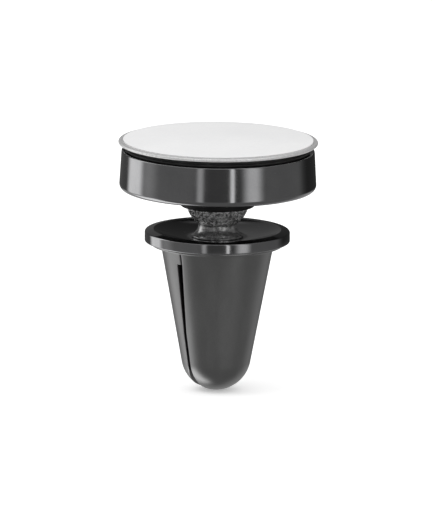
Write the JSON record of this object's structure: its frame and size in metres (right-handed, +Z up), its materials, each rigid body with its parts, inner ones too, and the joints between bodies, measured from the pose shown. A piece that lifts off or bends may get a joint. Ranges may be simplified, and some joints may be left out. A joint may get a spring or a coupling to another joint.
{
  "type": "car phone mount",
  "caption": "Magnetic phone mount: drum head with a steel plate, on a ball joint over a sprung, tapered air-vent clip.",
  "frame": {"origin": "lowest point of the clip's rounded tip", "axes": "+Z up along the common axis to the phone face; the vane slot runs along X; the front jaw is on -Y"},
  "size_m": [0.04, 0.04, 0.051],
  "materials": {
    "gunmetal": "gloss dark grey metallic coating",
    "satin_collar": "satin dark grey moulded plastic",
    "jaw_plastic": "satin dark grey moulded plastic",
    "black_plastic": "black acetal",
    "nylon": "natural nylon",
    "silicone": "matt black silicone",
    "face_rubber": "matt black rubber",
    "plated_steel": "bright nickel plate, slightly grainy",
    "zinc_steel": "zinc plated",
    "spring_steel": "bright drawn wire and strip",
    "mild_steel": "plain cold-rolled steel",
    "plate_steel": "satin steel with a rounded bright edge",
    "magnet_nickel": "nickel plated",
    "adhesive": "acrylic foam tape",
    "liner": "matt white coated paper"
  },
  "bodies": {
    "clip": {"flange_cap": "gunmetal", "clip_core": "satin_collar", "stud_bush": "nylon", "core_screws": "zinc_steel", "pivot_pin_front": "zinc_steel", "pivot_pin_rear": "zinc_steel"},
    "front_jaw": {"front_jaw": "jaw_plastic", "front_grip_pad": "silicone", "front_jaw_spring": "spring_steel"},
    "rear_jaw": {"rear_jaw": "jaw_plastic", "rear_grip_pad": "silicone", "rear_jaw_spring": "spring_steel"},
    "stud": {"ball_stud": "plated_steel", "stud_washer": "zinc_steel", "stud_nut": "zinc_steel"},
    "socket": {"ball_socket": "black_plastic", "pressure_cup": "nylon", "cup_spring": "spring_steel", "socket_cap": "black_plastic"},
    "head": {"head_shell": "gunmetal", "thrust_washer": "nylon", "yoke_ring": "mild_steel", "magnet_carrier": "black_plastic", "magnet_1": "magnet_nickel", "magnet_2": "magnet_nickel", "magnet_3": "magnet_nickel", "magnet_4": "magnet_nickel", "magnet_5": "magnet_nickel", "magnet_6": "magnet_nickel", "head_screws": "zinc_steel", "face_pad": "face_rubber"},
    "plate": {"steel_plate": "plate_steel", "adhesive_pad": "adhesive", "release_liner": "liner"}
  },
  "joints": [
    {"name": "front_jaw_open", "type": "hinge", "parent": "clip", "child": "front_jaw", "pos_m": [0, -0.00737, 0.0277], "axis": [-1, 0, 0], "range_deg": [0, 4], "stiffness_Nm_per_rad": 0.08, "springref_deg": -3.44},
    {"name": "rear_jaw_open", "type": "hinge", "parent": "clip", "child": "rear_jaw", "pos_m": [0, 0.00737, 0.0277], "axis": [1, 0, 0], "range_deg": [0, 4], "stiffness_Nm_per_rad": 0.08, "springref_deg": -3.44},
    {"name": "stud_swivel", "type": "hinge", "parent": "clip", "child": "stud", "pos_m": [0, 0, 0.03905], "axis": [0, 0, 1], "continuous": true},
    {"name": "head_tilt", "type": "hinge", "parent": "stud", "child": "socket", "pos_m": [0, 0, 0.03905], "axis": [1, 0, 0], "range_deg": [-28, 28]},
    {"name": "head_spin", "type": "hinge", "parent": "socket", "child": "head", "pos_m": [0, 0, 0.03905], "axis": [0, 0, 1], "continuous": true},
    {"name": "plate_lift", "type": "slide", "parent": "head", "child": "plate", "axis": [0, 0, 1], "range_m": [0, 0.012]}
  ],
  "couplings": [
    {"joint": "rear_jaw_open", "follows": "front_jaw_open", "ratio": 1}
  ]
}
